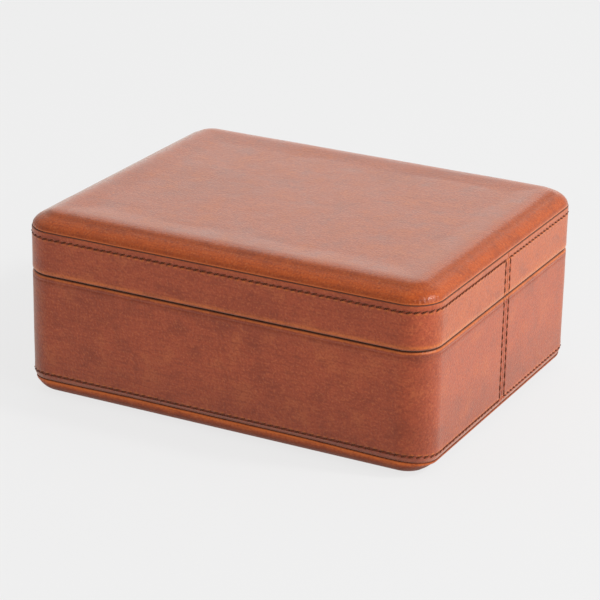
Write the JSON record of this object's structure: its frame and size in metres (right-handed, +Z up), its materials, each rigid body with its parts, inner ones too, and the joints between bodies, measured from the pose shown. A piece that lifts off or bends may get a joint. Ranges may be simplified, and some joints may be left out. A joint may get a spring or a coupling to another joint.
{
  "type": "stationery box",
  "caption": "Leather-covered box for papers and keepsakes, with stitched seams, a formed top and bottom, a suede lining and a lid on stop hinges.",
  "frame": {"origin": "centre of the flat face that the box rests on, midway between the outer faces of the side leather", "axes": "+X to the right along the front, +Y from the front to the hinged back, +Z up"},
  "size_m": [0.26, 0.2141, 0.1103],
  "materials": {
    "side_leather": "waxed chestnut vegetable-tanned side leather, satin",
    "formed_leather": "waxed chestnut leather, wet-formed and burnished, semi-gloss",
    "carcass_board": "sanded board",
    "suede_lining": "brown suede lining on card",
    "padded_suede": "brown suede over thin padding",
    "hinge_brass": "lightly polished solid brass"
  },
  "bodies": {
    "base": {"bottom_leather": "formed_leather", "bottom_board": "carcass_board", "base_front_board": "carcass_board", "base_back_board": "carcass_board", "base_left_board": "carcass_board", "base_right_board": "carcass_board", "base_front_wrap": "side_leather", "base_rear_wrap": "side_leather", "base_front_lining": "suede_lining", "base_back_lining": "suede_lining", "base_left_lining": "suede_lining", "base_right_lining": "suede_lining", "base_floor_pad": "padded_suede", "base_hinge_leaf_left": "hinge_brass", "base_hinge_leaf_right": "hinge_brass", "base_hinge_screws": "hinge_brass", "hinge_pin_left": "hinge_brass", "hinge_pin_right": "hinge_brass"},
    "lid": {"lid_top_leather": "formed_leather", "lid_top_board": "carcass_board", "lid_front_rail": "carcass_board", "lid_back_rail": "carcass_board", "lid_left_rail": "carcass_board", "lid_right_rail": "carcass_board", "lid_front_wrap": "side_leather", "lid_rear_wrap": "side_leather", "lid_front_lining": "suede_lining", "lid_back_lining": "suede_lining", "lid_left_lining": "suede_lining", "lid_right_lining": "suede_lining", "lid_pad": "padded_suede", "lid_hinge_leaf_left": "hinge_brass", "lid_hinge_leaf_right": "hinge_brass", "lid_hinge_screws": "hinge_brass"}
  },
  "joints": [
    {"name": "lid_hinge", "type": "hinge", "parent": "base", "child": "lid", "pos_m": [0, 0.1062, 0.075], "axis": [-1, 0, 0], "range_deg": [0, 95]}
  ]
}
